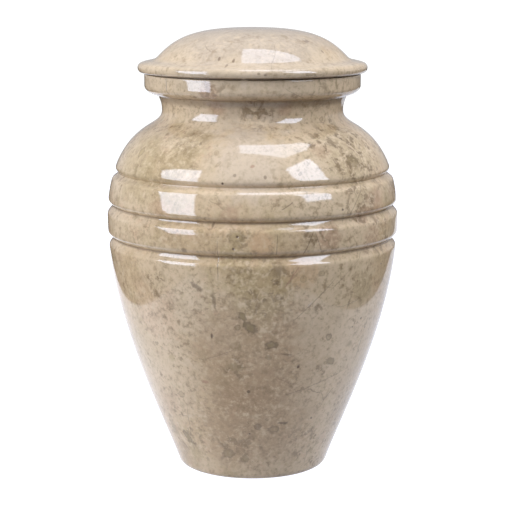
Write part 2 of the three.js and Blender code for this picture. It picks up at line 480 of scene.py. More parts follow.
@dataclass
class Lid:
    """The lid: a spigot that drops into the mouth, a round-edged flange, a cove and a low dome."""

    seat: float
    spigot_radius: float
    crown: float
    spigot_depth: float = 10.0
    spigot_chamfer: float = 1.2
    spigot_relief: float = 0.4
    seat_start: float = 1.5
    flange_radius: float = 69.7
    flange_thickness: float = 6.0
    flange_round_end: float = 60.0
    cove_top_handle: float = 250.4
    cove_handle: float = 0.35
    dome_foot_radius: float = 57.5
    dome_foot_height: float = 252.6
    dome_foot_slope: float = 0.943
    dome_side_handle: float = 0.94
    dome_crown_handle: float = 0.607
    columns: int = 360

    def outline(self) -> Outline:
        """Gives the whole outline: the spigot, the underside, the flange's edge, the cove and the dome."""
        line = Outline()
        spigot = self.spigot_radius
        bottom = self.seat - self.spigot_depth
        chamfer = self.spigot_chamfer
        line.run(between((0, bottom), (spigot - chamfer, bottom), 7), Finish.TURNED)
        line.run(between((spigot - chamfer, bottom), (spigot, bottom + chamfer), 3), Finish.TURNED)
        relief_start = (spigot, self.seat - self.spigot_relief)
        line.run(between((spigot, bottom + chamfer), relief_start, 5), Finish.TURNED)
        seat_start = (spigot + self.seat_start, self.seat)
        line.run(between((spigot + self.spigot_relief, self.seat), seat_start, 3), Finish.TURNED)
        half = self.flange_thickness / 2
        middle = (self.flange_radius - half, self.seat + half)
        line.run(between(seat_start, (middle[0], self.seat), 6), Finish.TURNED)
        edge = arc(middle, half, -90, self.flange_round_end, 20)
        line.run(edge, Finish.POLISHED)

        top = edge[-1]
        foot = np.array([self.dome_foot_radius, self.dome_foot_height])
        span = top[0] - foot[0]
        climb = np.array([-1.0, 1.0 / self.dome_foot_slope])
        climb /= np.linalg.norm(climb)
        cove = bezier(
            tuple(top),
            (top[0] - self.cove_handle * span, self.cove_top_handle),
            tuple(foot - self.cove_handle * span * climb),
            tuple(foot),
            14,
        )
        line.run(cove, Finish.POLISHED)
        rise = self.crown - self.dome_foot_height
        dome = bezier(
            tuple(foot),
            tuple(foot + self.dome_side_handle * rise * climb),
            (self.dome_crown_handle * self.dome_foot_radius, self.crown),
            (0, self.crown),
            44,
        )
        line.run(dome, Finish.POLISHED)
        return line

    def build(self) -> bpy.types.Object:
        """Makes the lid's mesh."""
        return turned_piece("lid_dome", self.outline(), self.columns, Unevenness(seed=23))


# Placing and linking shader nodes

Input = bpy.types.NodeSocket | float | tuple
Layer = tuple[Input, float, float, float, Colour]
Sockets = bpy.types.bpy_prop_collection
MIX_COLOURS = (6, 7, 2)
MIX_NUMBERS = (2, 3, 0)


class Desk:
    """Places and links the nodes of one node tree."""

    def __init__(self, tree: bpy.types.NodeTree) -> None:
        """Keeps the tree."""
        self.tree = tree

    def node(self, kind: str, **settings: object) -> bpy.types.Node:
        """Adds a node of the given kind and sets its properties."""
        node = self.tree.nodes.new(kind)
        for name, value in settings.items():
            setattr(node, name, value)
        return node

    def feed(self, socket: bpy.types.NodeSocket, value: Input) -> None:
        """Links a socket to the value, or sets it where the value is a number, a colour or a place."""
        if isinstance(value, bpy.types.NodeSocket):
            self.tree.links.new(value, socket)
        elif isinstance(value, tuple) and len(value) == 3 and socket.type == "RGBA":
            socket.default_value = (*value, 1.0)
        else:
            socket.default_value = value

    def math(self, operation: str, a: Input, b: Input = 0.0, c: Input = 0.0) -> Input:
        """Gives the result of a Math node."""
        node = self.node("ShaderNodeMath", operation=operation)
        for socket, value in zip(node.inputs, (a, b, c)):
            self.feed(socket, value)
        return node.outputs[0]

    def plus(self, a: Input, b: Input) -> Input:
        """Gives a plus b."""
        return self.math("ADD", a, b)

    def minus(self, a: Input, b: Input) -> Input:
        """Gives a less b."""
        return self.math("SUBTRACT", a, b)

    def times(self, a: Input, b: Input) -> Input:
        """Gives a times b."""
        return self.math("MULTIPLY", a, b)

    def vector(self, operation: str, a: Input, b: Input = (0.0, 0.0, 0.0), scale: Input = 1.0) -> Input:
        """Gives the result of a Vector Math node, its number for lengths and dot products."""
        node = self.node("ShaderNodeVectorMath", operation=operation)
        self.feed(node.inputs[0], a)
        if operation == "SCALE":
            self.feed(node.inputs["Scale"], scale)
        else:
            self.feed(node.inputs[1], b)
        is_number = operation in ("LENGTH", "DISTANCE", "DOT_PRODUCT")
        return node.outputs["Value"] if is_number else node.outputs["Vector"]

    def step(self, value: Input, low: Input, high: Input, start: Input = 0.0, end: Input = 1.0) -> Input:
        """Gives a smooth step from start to end as the value goes from low to high."""
        node = self.node("ShaderNodeMapRange", interpolation_type="SMOOTHSTEP")
        for name, number in zip(("Value", "From Min", "From Max", "To Min", "To Max"),
                                (value, low, high, start, end)):
            self.feed(node.inputs[name], number)
        return node.outputs["Result"]

    def blend(self, share: Input, a: Input, b: Input) -> Input:
        """Gives colour a mixed with colour b by the share."""
        return self.mixed("RGBA", MIX_COLOURS, share, a, b)

    def between(self, share: Input, a: Input, b: Input) -> Input:
        """Gives number a mixed with number b by the share."""
        return self.mixed("FLOAT", MIX_NUMBERS, share, a, b)

    def mixed(self, kind: str, sockets: tuple[int, int, int], share: Input, a: Input, b: Input) -> Input:
        """Gives the result of a Mix node, whose sockets for a, b and the result go by their places."""
        node = self.node("ShaderNodeMix", data_type=kind)
        first, second, result = sockets
        for place, value in ((0, share), (first, a), (second, b)):
            self.feed(node.inputs[place], value)
        return node.outputs[result]

    def noise(self, place: Input, size: float, detail: float = 2.0, roughness: float = 0.5) -> bpy.types.Node:
        """Adds cloudy noise whose lumps are about size across, in the units of the place."""
        node = self.node("ShaderNodeTexNoise", noise_dimensions="3D")
        self.feed(node.inputs["Vector"], place)
        node.inputs["Scale"].default_value = 1.0 / size
        node.inputs["Detail"].default_value = detail
        node.inputs["Roughness"].default_value = roughness
        return node

    def haze(self, place: Input, size: float, detail: float = 3.0, roughness: float = 0.6,
             shift: Place | None = None) -> Input:
        """Gives the strength of cloudy noise, read at the place or at the place plus the shift."""
        read_at = place if shift is None else self.vector("ADD", place, shift)
        return self.noise(read_at, size, detail, roughness).outputs[0]

    def about_zero(self, noise: Input, reach: float) -> Input:
        """Gives a noise less its middle of a half, times the reach."""
        return self.times(self.minus(noise, 0.5), reach)

    def bent(self, place: Input, bend: bpy.types.Node, reach: float) -> Input:
        """Gives the place moved by a noise's colour times the reach."""
        return self.vector("ADD", place, self.vector("SCALE", bend.outputs["Color"], scale=reach))

    def axes(self, place: Input) -> Sockets:
        """Gives the three parts of a place: to the right, to the back and up."""
        node = self.node("ShaderNodeSeparateXYZ")
        self.feed(node.inputs[0], place)
        return node.outputs

    def chances(self, cell: bpy.types.Node) -> Sockets:
        """Gives the three random numbers of a cell, which are the parts of its random colour."""
        node = self.node("ShaderNodeSeparateColor")
        self.feed(node.inputs[0], cell.outputs["Color"])
        return node.outputs

    def cells(self, place: Input, size: Input, feature: str = "F1") -> bpy.types.Node:
        """Adds cells about size across, each with its distance, its colour and its middle."""
        node = self.node("ShaderNodeTexVoronoi", voronoi_dimensions="3D", feature=feature)
        self.feed(node.inputs["Vector"], place)
        self.feed(node.inputs["Scale"], self.math("DIVIDE", 1.0, size))
        return node

    def turned(self, place: Input, degrees: Place, scale: Place, shift: Place) -> Input:
        """Gives the place turned by the degrees, then scaled, then shifted."""
        turn = self.node("ShaderNodeMapping", vector_type="POINT")
        turn.inputs["Rotation"].default_value = tuple(math.radians(angle) for angle in degrees)
        self.feed(turn.inputs["Vector"], place)
        node = self.node("ShaderNodeMapping", vector_type="POINT")
        self.feed(node.inputs["Vector"], turn.outputs["Vector"])
        node.inputs["Scale"].default_value = scale
        node.inputs["Location"].default_value = shift
        return node.outputs["Vector"]

    def group(self, tree: bpy.types.NodeTree, **inputs: Input) -> bpy.types.Node:
        """Adds a node group and feeds its named inputs, with spaces for underscores."""
        node = self.node("ShaderNodeGroup", node_tree=tree)
        for name, value in inputs.items():
            self.feed(node.inputs[name.replace("_", " ")], value)
        return node


class GroupMaker:
    """Makes a node group with named inputs and outputs."""

    def __init__(self, name: str, inputs: dict[str, object], outputs: dict[str, str]) -> None:
        """Makes the group's sockets.

        Args:
            name: The group's name.
            inputs: Each input's name with its default, a number or a place.
            outputs: Each output's name with its socket type.
        """
        self.tree = bpy.data.node_groups.new(name, "ShaderNodeTree")
        for label, default in inputs.items():
            kind = "NodeSocketVector" if isinstance(default, tuple) else "NodeSocketFloat"
            socket = self.tree.interface.new_socket(label, in_out="INPUT", socket_type=kind)
            socket.default_value = default
        for label, kind in outputs.items():
            self.tree.interface.new_socket(label, in_out="OUTPUT", socket_type=kind)
        self.desk = Desk(self.tree)
        self.given = self.desk.node("NodeGroupInput").outputs
        self.results = self.desk.node("NodeGroupOutput").inputs

    def give(self, **values: Input) -> bpy.types.NodeTree:
        """Feeds the named outputs, with spaces for underscores, and gives the finished group."""
        for name, value in values.items():
            self.desk.feed(self.results[name.replace("_", " ")], value)
        return self.tree


def shell_sections() -> bpy.types.NodeTree:
    """Makes the group for cut shells: round cells, some of them kept, each with a body and a darker rim.

    A cell's distance from its middle, less its own radius, gives the body inside and the rim near the
    edge. Its random colour says whether it is kept, how large it is and how dark.

    Returns:
        The group.
    """
    maker = GroupMaker(
        "shell sections",
        {"Place": ORIGIN, "Size": 8.0, "Share": 0.3, "Small": 0.12, "Large": 0.36, "Rim": 0.06},
        {"Body": "NodeSocketFloat", "Edge": "NodeSocketFloat", "Tone": "NodeSocketFloat"},
    )
    desk = maker.desk
    given = maker.given
    cell = desk.cells(given["Place"], given["Size"])
    keep, girth, tone = desk.chances(cell)
    softness = 0.6
    kept = desk.math("LESS_THAN", keep, given["Share"])
    spread = desk.minus(given["Large"], given["Small"])
    radius = desk.math("MULTIPLY_ADD", girth, spread, given["Small"])
    away = desk.minus(cell.outputs["Distance"], radius)
    soft = desk.times(given["Rim"], softness)
    body = desk.step(away, soft, desk.times(soft, -1.0))
    off_rim = desk.math("ABSOLUTE", desk.plus(away, given["Rim"]))
    edge = desk.step(off_rim, given["Rim"], 0.0)
    return maker.give(
        Body=desk.times(body, kept),
        Edge=desk.times(edge, kept),
        Tone=tone,
    )


def flaw_line() -> bpy.types.NodeTree:
    """Makes the group for a healed crack: a slightly wavy plane through the stone, near one place only.

    The distance from the plane, with the bend added, gives the line, and the distance from its middle
    fades it.

    Returns:
        The group.
    """
    maker = GroupMaker(
        "flaw line",
        {
            "Place": ORIGIN,
            "Middle": ORIGIN,
            "Across": (0.0, 0.0, 1.0),
            "Reach": 20.0,
            "Width": 0.4,
            "Bend": 0.0,
        },
        {"Line": "NodeSocketFloat"},
    )
    desk = maker.desk
    given = maker.given
    offset = desk.vector("SUBTRACT", given["Place"], given["Middle"])
    off_plane = desk.plus(desk.vector("DOT_PRODUCT", offset, given["Across"]), given["Bend"])
    line = desk.step(desk.math("ABSOLUTE", off_plane), given["Width"], 0.0)
    far = desk.math("DIVIDE", desk.vector("LENGTH", offset), given["Reach"])
    fade = (1.0, 0.7)
    return maker.give(Line=desk.times(line, desk.step(far, *fade)))


def stain() -> bpy.types.NodeTree:
    """Makes the group for a patch of another tone: a ball in the stone with a ragged edge.

    Returns:
        The group.
    """
    maker = GroupMaker(
        "stain",
        {"Place": ORIGIN, "Middle": ORIGIN, "Reach": 20.0, "Cloud": 0.0},
        {"Mask": "NodeSocketFloat"},
    )
    desk = maker.desk
    given = maker.given
    near = desk.math("DIVIDE", desk.vector("DISTANCE", given["Place"], given["Middle"]), given["Reach"])
    edge = (1.0, 0.5)
    return maker.give(Mask=desk.step(desk.plus(given["Cloud"], near), *edge))


def oval() -> bpy.types.NodeTree:
    """Makes the group for one cut shell: an oval body and its rim.

    The squares of the offset along and across the oval, each over its half size, and of the whole offset
    over the depth add up to the square of the distance, which is 1 at the edge.

    Returns:
        The group.
    """
    maker = GroupMaker(
        "oval",
        {
            "Place": ORIGIN,
            "Middle": ORIGIN,
            "Along": (0.0, 0.0, 1.0),
            "Across": (1.0, 0.0, 0.0),
            "Rough": 0.0,
        },
        {"Body": "NodeSocketFloat", "Edge": "NodeSocketFloat"},
    )
    depth = 9.0
    rim_place = 0.86
    rim_edge = (0.35, 0.03)
    body_edge = (1.3, 0.5)
    desk = maker.desk
    given = maker.given
    offset = desk.vector("SUBTRACT", given["Place"], given["Middle"])
    along = desk.vector("DOT_PRODUCT", offset, given["Along"])
    across = desk.vector("DOT_PRODUCT", offset, given["Across"])
    deep = desk.math("DIVIDE", desk.vector("LENGTH", offset), depth)
    square = desk.times(deep, deep)
    square = desk.math("MULTIPLY_ADD", across, across, square)
    square = desk.math("MULTIPLY_ADD", along, along, square)
    away = desk.plus(desk.math("SQRT", square), given["Rough"])
    off_rim = desk.math("ABSOLUTE", desk.minus(away, rim_place))
    return maker.give(Body=desk.step(away, *body_edge), Edge=desk.step(off_rim, *rim_edge))


# The stone


class Skin:
    """The polished outside of the closed urn, by which a place on the stone is found."""

    def __init__(self, outlines: Sequence[Outline]) -> None:
        """Keeps the polished points of the outlines, sorted by height."""
        rows = [outline.points()[1:][outline.face_finishes() == Finish.POLISHED] for outline in outlines]
        points = np.concatenate(rows)
        self.curve = points[np.argsort(points[:, 1])]

    def place(self, azimuth: float, height: float) -> Place:
        """Gives the place on the outside: azimuth in degrees right of the front, and height."""
        angle = math.radians(azimuth)
        radius = float(radius_at(self.curve, np.array(height)))
        return (radius * math.sin(angle), -radius * math.cos(angle), height)

    @staticmethod
    def leaning(azimuth: float, lean: float, size: float = 1.0) -> Place:
        """Gives a direction in the side of the urn, over a size.

        Args:
            azimuth: Degrees right of the front.
            lean: Degrees from upright, to the right as it rises.
            size: What the direction is divided by.

        Returns:
            The direction, of the length one over the size.
        """
        turn = math.radians(azimuth)
        tilt = math.radians(lean)
        sideways = math.sin(tilt) / size
        return (sideways * math.cos(turn), sideways * math.sin(turn), math.cos(tilt) / size)


@dataclass(frozen=True)
class Patch:
    """A patch of the stone, round a place on the outside."""

    azimuth: float
    height: float
    reach: float
    strength: float


@dataclass(frozen=True)
class Stain(Patch):
    """A patch of another tone."""

    colour: Colour


@dataclass(frozen=True)
class Shell:
    """A cut shell, a clot or an open pit at the surface: an oval with a lean from upright in degrees."""

    azimuth: float
    height: float
    length: float
    width: float
    lean: float
    colour: Colour
    body: float
    rim: float = 0.0


@dataclass(frozen=True)
class Flaw:
    """A healed crack, seen as a fine line where its plane meets the surface.

    The lean is how far the line leans from upright, in degrees, to the right as it rises.
    """

    azimuth: float
    height: float
    lean: float
    reach: float
    width: float
    colour: Colour
    strength: float


@dataclass(frozen=True)
class Limestone:
    """The figure of the stone: its tones, its fossils and its flaws, in object space."""

    skin: Skin
    grooves: tuple[float, ...]
    cream: Colour = (0.670, 0.500, 0.309)
    beige: Colour = (0.570, 0.396, 0.217)
    olive: Colour = (0.455, 0.330, 0.163)
    pink: Colour = (0.595, 0.376, 0.223)
    shell: Colour = (0.310, 0.209, 0.108)
    umber: Colour = (0.17, 0.11, 0.062)
    pit: Colour = (0.12, 0.068, 0.032)
    stains: tuple[Stain, ...] = ()
    drifts: tuple[Patch, ...] = ()
    calms: tuple[Patch, ...] = ()
    shells: tuple[Shell, ...] = ()
    flaws: tuple[Flaw, ...] = ()
    # The groove, neck and joint values place painted shade: umber laid where the recesses fall in shade.
    groove_reach: float = 82.5
    groove_shade_span: Span = (1.3, 0.3)
    groove_shade_strength: float = 0.5
    neck_shade: tuple[float, float, float, float] = (228.5, 4.2, 1.2, 0.45)
    joint_shade: tuple[float, float, float, float] = (243.1, 1.1, 0.5, 0.8)
    busy_span: Span = (0.38, 0.62)
    busy_range: Span = (0.6, 1.15)
    plain_drift: float = 0.15
    wall_span: Span = (0.11, 0.03)
    wall_strength: float = 0.9
    broken_span: Span = (0.44, 0.6)
    mud_span: Span = (0.5, 0.38)
    mud_strength: float = 0.95
    fossil_span: Span = (0.4, 0.58)
    fossil_least: float = 0.3
    fossil_body: float = 0.7
    fossil_edge: float = 0.6
    pit_share: float = 0.25
    pit_least: float = 0.03
    pit_spread: float = 0.035
    pit_flat: float = 0.4
    vein_span: Span = (0.0032, 0.0008)
    vein_places: Span = (0.57, 0.65)
    vein_strength: float = 0.5
    vein_depth: float = 0.2
    crack_depth: float = 0.5

    @staticmethod
    def laid(desk: Desk, ground: Input, layers: Sequence[Layer], share: Input | None = None) -> Input:
        """Lays colours over the ground, each growing from nothing to its strength as its pattern goes on.

        Args:
            desk: Where the nodes go.
            ground: The colour below.
            layers: Rows of pattern, where the colour starts, where it is full, its strength and the colour.
            share: What the strengths are multiplied by, if anything.

        Returns:
            The colour on top.
        """
        for pattern, start, full, strength, colour in layers:
            mask = desk.step(pattern, start, full, 0.0, strength)
            ground = desk.blend(mask if share is None else desk.times(mask, share), ground, colour)
        return ground

    def clouds(self, desk: Desk, place: Input) -> Input:
        """Gives the ground: slow clouds of cream, beige, olive and pink, and softer clots inside them."""
        slow = desk.haze(place, size=60.0, detail=4.0, roughness=0.55)
        middle = desk.haze(place, size=24.0, detail=5.0, shift=(310.0, 90.0, 40.0))
        clots = desk.haze(place, size=7.0, detail=4.0, shift=(70.0, 510.0, 20.0))
        muddy = desk.haze(place, size=34.0, detail=5.0, roughness=0.62, shift=(20.0, 130.0, 260.0))
        layers = (
            (slow, 0.42, 0.62, 0.75, self.cream),
            (middle, 0.5, 0.68, 0.7, self.olive),
            (muddy, 0.53, 0.66, 0.4, self.shell),
            (clots, 0.52, 0.7, 0.45, self.pink),
            (clots, 0.46, 0.3, 0.5, self.olive),
        )
        return self.laid(desk, self.beige, layers)

    def patches(self, desk: Desk, place: Input, cloud: Input, spots: Sequence[Patch]) -> list[Input]:
        """Gives the mask of each patch, times its strength."""
        group = stain()
        masks = []
        for spot in spots:
            middle = self.skin.place(spot.azimuth, spot.height)
            patch = desk.group(group, Place=place, Middle=middle, Reach=spot.reach, Cloud=cloud)
            masks.append(desk.times(patch.outputs["Mask"], spot.strength))
        return masks

    def dotted(self, desk: Desk, place: Input, ground: Input, busy: Input) -> Input:
        """Adds the grain of the mud: fine dark and light dots of one to three millimetres."""
        grain = desk.haze(place, size=2.0, roughness=0.58)
        coarse = desk.haze(place, size=4.4)
        layers = (
            (grain, 0.5, 0.3, 0.5, self.shell),
            (grain, 0.53, 0.7, 0.6, self.cream),
            (coarse, 0.54, 0.7, 0.7, self.cream),
            (coarse, 0.47, 0.28, 0.8, self.shell),
        )
        return self.laid(desk, ground, layers, busy)

    def hash(self, desk: Desk, place: Input, ground: Input, drift: Input) -> Input:
        """Adds drifts of broken shell: pale curved walls with brown mud between them.

        The walls are the edges of bent cells, here and there, and the mud lies where a noise is low.
        """
        bend = desk.noise(place, size=8.0, detail=3.0, roughness=0.6)
        bent = desk.bent(place, bend, reach=11.0)
        wall = desk.step(desk.cells(bent, 7.0, "DISTANCE_TO_EDGE").outputs["Distance"], *self.wall_span)
        broken = desk.step(desk.haze(place, size=4.0), *self.broken_span)
        mud = desk.haze(bent, size=6.5, detail=4.0, roughness=0.62)
        mud = desk.step(mud, *self.mud_span, 0.0, self.mud_strength)
        brown = desk.blend(bend.outputs[0], self.umber, self.shell)
        ground = desk.blend(desk.times(mud, drift), ground, brown)
        pale = desk.times(desk.times(wall, broken), drift)
        return desk.blend(desk.times(pale, self.wall_strength), ground, self.cream)

    def fossils(self, desk: Desk, place: Input, ground: Input, busy: Input) -> Input:
        """Adds cut shells: round ones, long slivers lying several ways, and small crumbs in drifts."""
        sections = shell_sections()
        drift = desk.step(desk.haze(place, size=34.0), *self.fossil_span, self.fossil_least, 1.0)
        drift = desk.times(drift, busy)
        ragged = desk.noise(place, size=1.6, detail=3.0, roughness=0.6)
        rough_place = desk.bent(place, ragged, reach=1.0)
        apart = (13.0, 7.0, 3.0)
        layers = (
            ((0.0, 0.0, 0.0), (1.0, 1.0, 1.0), 12.0, 0.30, 0.08, 0.20, 0.035, 0.7),
            ((35.0, 20.0, 65.0), (1.0, 0.4, 1.0), 11.0, 0.26, 0.05, 0.13, 0.03, 0.8),
            ((-40.0, 15.0, -25.0), (0.36, 1.0, 1.0), 12.0, 0.26, 0.05, 0.13, 0.03, 0.75),
            ((15.0, -50.0, 10.0), (1.0, 1.0, 0.5), 5.0, 0.34, 0.08, 0.20, 0.05, 0.75),
        )
        for degrees, scale, size, share, small, large, rim, strength in layers:
            shift = tuple(size * part for part in apart)
            cut = desk.group(sections, Place=desk.turned(rough_place, degrees, scale, shift), Size=size,
                             Share=share, Small=small, Large=large, Rim=rim).outputs
            body = desk.times(desk.times(cut["Body"], drift), self.fossil_body * strength)
            edge = desk.times(desk.times(cut["Edge"], drift), self.fossil_edge * strength)
            ground = desk.blend(body, ground, desk.blend(cut["Tone"], self.shell, self.olive))
            ground = desk.blend(edge, ground, desk.blend(cut["Tone"], self.umber, self.shell))
        return ground

    def pits(self, desk: Desk, place: Input) -> Input:
        """Gives the mask of the small dark pits."""
        cell = desk.cells(desk.vector("ADD", place, (17.0, 5.0, 9.0)), 15.0)
        chances = desk.chances(cell)
        kept = desk.math("LESS_THAN", chances[0], self.pit_share)
        radius = desk.math("MULTIPLY_ADD", chances[1], self.pit_spread, self.pit_least)
        inside = desk.step(cell.outputs["Distance"], radius, desk.times(radius, self.pit_flat))
        return desk.times(inside, kept)

    def hairlines(self, desk: Desk, place: Input) -> Input:
        """Gives the mask of the fine veins: the edges of large, barely bent cells, here and there."""
        bend = desk.noise(place, size=34.0, detail=3.0, roughness=0.5)
        cell = desk.cells(desk.bent(place, bend, reach=13.0), 84.0, "DISTANCE_TO_EDGE")
        line = desk.step(cell.outputs["Distance"], *self.vein_span)
        here = desk.step(desk.haze(place, size=26.0, detail=2.0, roughness=0.5), *self.vein_places)
        return desk.times(line, here)

    def painted_recess_shade(self, desk: Desk, place: Input) -> Input:
        """Gives the mask of the painted shade in the grooves' bottoms, under the collar and at the joint."""
        height = desk.axes(place)[2]
        level = desk.vector("MULTIPLY", place, (1.0, 1.0, 0.0))
        outside = desk.step(desk.vector("LENGTH", level), self.groove_reach, self.groove_reach + 1.0)
        painted_shade: Input = 0.0
        for groove in self.grooves:
            off = desk.math("ABSOLUTE", desk.minus(height, groove))
            painted_shade = desk.plus(painted_shade, desk.step(off, *self.groove_shade_span, 0.0, self.groove_shade_strength))
        painted_shade = desk.times(painted_shade, outside)
        for middle, reach, flat, strength in (self.neck_shade, self.joint_shade):
            off = desk.math("ABSOLUTE", desk.minus(height, middle))
            painted_shade = desk.math("MAXIMUM", painted_shade, desk.step(off, reach, flat, 0.0, strength))
        return painted_shade

    def placed_shells(self, desk: Desk, place: Input, ground: Input) -> tuple[Input, Input]:
        """Adds the shells, clots and open pits that have places of their own.

        Args:
            desk: Where the nodes go.
            place: The place in the stone.
            ground: The colour below.

        Returns:
            The colour with them, and the mask of the open pits.
        """
        rough = desk.about_zero(desk.haze(place, size=2.2, roughness=0.5), reach=1.3)
        group = oval()
        open_pits: Input = 0.0
        for spot in self.shells:
            cut = desk.group(group, Place=place, Middle=self.skin.place(spot.azimuth, spot.height),
                             Along=Skin.leaning(spot.azimuth, spot.lean, 0.5 * spot.length),
                             Across=Skin.leaning(spot.azimuth, spot.lean + 90.0, 0.5 * spot.width),
                             Rough=rough).outputs
            body = desk.times(cut["Body"], spot.body)
            ground = desk.blend(body, ground, spot.colour)
            if spot.rim:
                ground = desk.blend(desk.times(cut["Edge"], spot.rim), ground, self.umber)
            if spot.colour == self.pit:
                open_pits = desk.math("MAXIMUM", open_pits, body)
        return ground, open_pits

    def placed_flaws(self, desk: Desk, place: Input, ground: Input, cracks: Input) -> tuple[Input, Input]:
        """Adds the healed cracks that have places of their own.

        Args:
            desk: Where the nodes go.
            place: The place in the stone.
            ground: The colour below.
            cracks: The mask of the cracks so far.

        Returns:
            The colour with them, and the mask of all cracks.
        """
        group = flaw_line()
        bend = desk.about_zero(desk.haze(place, size=9.0, roughness=0.5), reach=1.6)
        for flaw in self.flaws:
            line = desk.group(group, Place=place, Middle=self.skin.place(flaw.azimuth, flaw.height),
                              Across=Skin.leaning(flaw.azimuth, flaw.lean + 90.0), Reach=flaw.reach,
                              Width=flaw.width, Bend=bend).outputs["Line"]
            line = desk.times(line, flaw.strength)
            ground = desk.blend(line, ground, flaw.colour)
            cracks = desk.math("MAXIMUM", cracks, desk.times(line, self.crack_depth))
        return ground, cracks

    def group(self) -> bpy.types.NodeTree:
        """Makes the group that puts out the stone's colour and the depth of its flaws.

        Returns:
            The group, with a Color, a Flaws mask of pits and cracks, and a Grain.
        """
        outputs = {"Color": "NodeSocketColor", "Flaws": "NodeSocketFloat", "Grain": "NodeSocketFloat"}
        maker = GroupMaker("limestone figure", {}, outputs)
        desk = maker.desk
        coordinates = desk.node("ShaderNodeTexCoord").outputs["Object"]
        place = desk.vector("SCALE", coordinates, scale=MILLIMETRES)
        bent = desk.bent(place, desk.noise(place, size=42.0, detail=3.0, roughness=0.5), reach=16.0)
        cloud = desk.about_zero(desk.haze(place, size=13.0, detail=5.0, roughness=0.65), reach=1.1)

        ground = self.clouds(desk, bent)
        for mask, spot in zip(self.patches(desk, place, cloud, self.stains), self.stains):
            ground = desk.blend(mask, ground, spot.colour)
        busy = desk.step(desk.haze(place, size=30.0), *self.busy_span, *self.busy_range)
        for mask in self.patches(desk, place, cloud, self.calms):
            busy = desk.times(busy, desk.minus(1.0, mask))
        ground = self.dotted(desk, place, ground, busy)
        drift: Input = self.plain_drift
        for mask in self.patches(desk, place, cloud, self.drifts):
            drift = desk.math("MAXIMUM", drift, mask)
        ground = self.hash(desk, place, ground, drift)
        ground = self.fossils(desk, bent, ground, busy)
        # Painted shade: umber in the grooves' bottoms, under the collar and at the lid's joint, where shade
        # falls.
        ground = desk.blend(self.painted_recess_shade(desk, place), ground, self.umber)
        ground, open_pits = self.placed_shells(desk, place, ground)

        hair = desk.times(self.hairlines(desk, place), busy)
        ground = desk.blend(desk.times(hair, self.vein_strength), ground, self.umber)
        ground, cracks = self.placed_flaws(desk, place, ground, desk.times(hair, self.vein_depth))
        pits = self.pits(desk, place)
        ground = desk.blend(pits, ground, self.pit)
        flaws = desk.math("MAXIMUM", desk.math("MAXIMUM", pits, open_pits), cracks)
        return maker.give(Color=ground, Flaws=flaws, Grain=desk.haze(place, size=0.9))


class StoneMaterial:
    """A material with the stone's figure, whose colour, roughness and bump are still to come."""

    def __init__(self, name: str, figure: bpy.types.NodeTree, ior: float) -> None:
        """Makes the material and adds the figure.

        Args:
            name: The material's name.
            figure: The stone's figure.
            ior: How strongly the surface mirrors, as its index of refraction.
        """
        self.material = bpy.data.materials.new(name)
        self.material.use_nodes = True
        self.desk = Desk(self.material.node_tree)
        self.shader = self.material.node_tree.nodes["Principled BSDF"]
        self.shader.inputs["IOR"].default_value = ior
        self.stone = self.desk.group(figure).outputs

    def finished(self, colour: Input, roughness: Input, height: Input, depth: float,
                 sunk: bool = False) -> bpy.types.Material:
        """Feeds the shader and gives the material.

        Args:
            colour: The base colour.
            roughness: The roughness.
            height: The height that the bump shows.
            depth: How far the bump goes, in metres.
            sunk: Whether the height goes in and not out.

        Returns:
            The material.
        """
        bump = self.desk.node("ShaderNodeBump", invert=sunk)
        bump.inputs["Distance"].default_value = depth
        self.desk.feed(bump.inputs["Height"], height)
        fed = {"Base Color": colour, "Roughness": roughness, "Normal": bump.outputs["Normal"]}
        for name, value in fed.items():
            self.desk.feed(self.shader.inputs[name], value)
        return self.material


@dataclass(frozen=True)
class PolishedStone:
    """The stone's outside: mirror polished, with open pits and hairline cracks."""

    roughness: float = 0.075
    flaw_roughness: float = 0.5
    flaw_full: float = 0.8
    ior: float = 1.52
    flaw_depth: float = 0.00022

    def material(self, figure: bpy.types.NodeTree) -> bpy.types.Material:
        """Makes the material.

        Args:
            figure: The stone's figure.

        Returns:
            The material.
        """
        made = StoneMaterial("polished limestone", figure, self.ior)
        flaws = made.stone["Flaws"]
        roughness = made.desk.step(flaws, 0.0, self.flaw_full, self.roughness, self.flaw_roughness)
        return made.finished(made.stone["Color"], roughness, flaws, self.flaw_depth, sunk=True)


@dataclass(frozen=True)
class TurnedStone:
    """The stone where the tool left it: dull and paler, with fine rings from the lathe."""

    ior: float = 1.5
    ring_pitch: float = 1.7
    ring_depth: float = 0.00012
    chalk: Colour = (0.60, 0.53, 0.43)
    chalk_range: Span = (0.175, 0.525)
    dust_span: Span = (0.3, 0.7)
    roughness_range: Span = (0.5, 0.68)
    ring_share: float = 0.35

    def material(self, figure: bpy.types.NodeTree) -> bpy.types.Material:
        """Makes the material.

        Args:
            figure: The stone's figure.

        Returns:
            The material.
        """
        made = StoneMaterial("turned limestone", figure, self.ior)
        desk = made.desk
        grain = made.stone["Grain"]
        place = desk.vector("SCALE", desk.node("ShaderNodeTexCoord").outputs["Object"], scale=MILLIMETRES)
        axes = desk.axes(place)
        squares = [desk.math("POWER", axes[part], 2.0) for part in range(2)]
        along = desk.plus(desk.math("SQRT", desk.plus(*squares)), axes[2])
        rings = desk.math("SINE", desk.times(along, 2 * math.pi / self.ring_pitch))
        dust = desk.step(desk.haze(place, size=5.0, detail=4.0), *self.dust_span, *self.chalk_range)
        colour = desk.blend(dust, made.stone["Color"], self.chalk)
        roughness = desk.step(grain, *self.dust_span, *self.roughness_range)
        height = desk.math("MULTIPLY_ADD", rings, self.ring_share, grain)
        return made.finished(colour, roughness, height, self.ring_depth)


# The studio


def toward(azimuth: float, elevation: float, distance: float) -> Place:
    """Gives a place in metres, seen from the middle of the urn.

    Args:
        azimuth: Degrees to the right of the camera's side.
        elevation: Degrees above the level.
        distance: Metres away.

    Returns:
        The place.
    """
    turn = math.radians(azimuth)
    rise = math.radians(elevation)
    level = distance * math.cos(rise)
    return (level * math.sin(turn), -level * math.cos(turn), Studio.heart + distance * math.sin(rise))


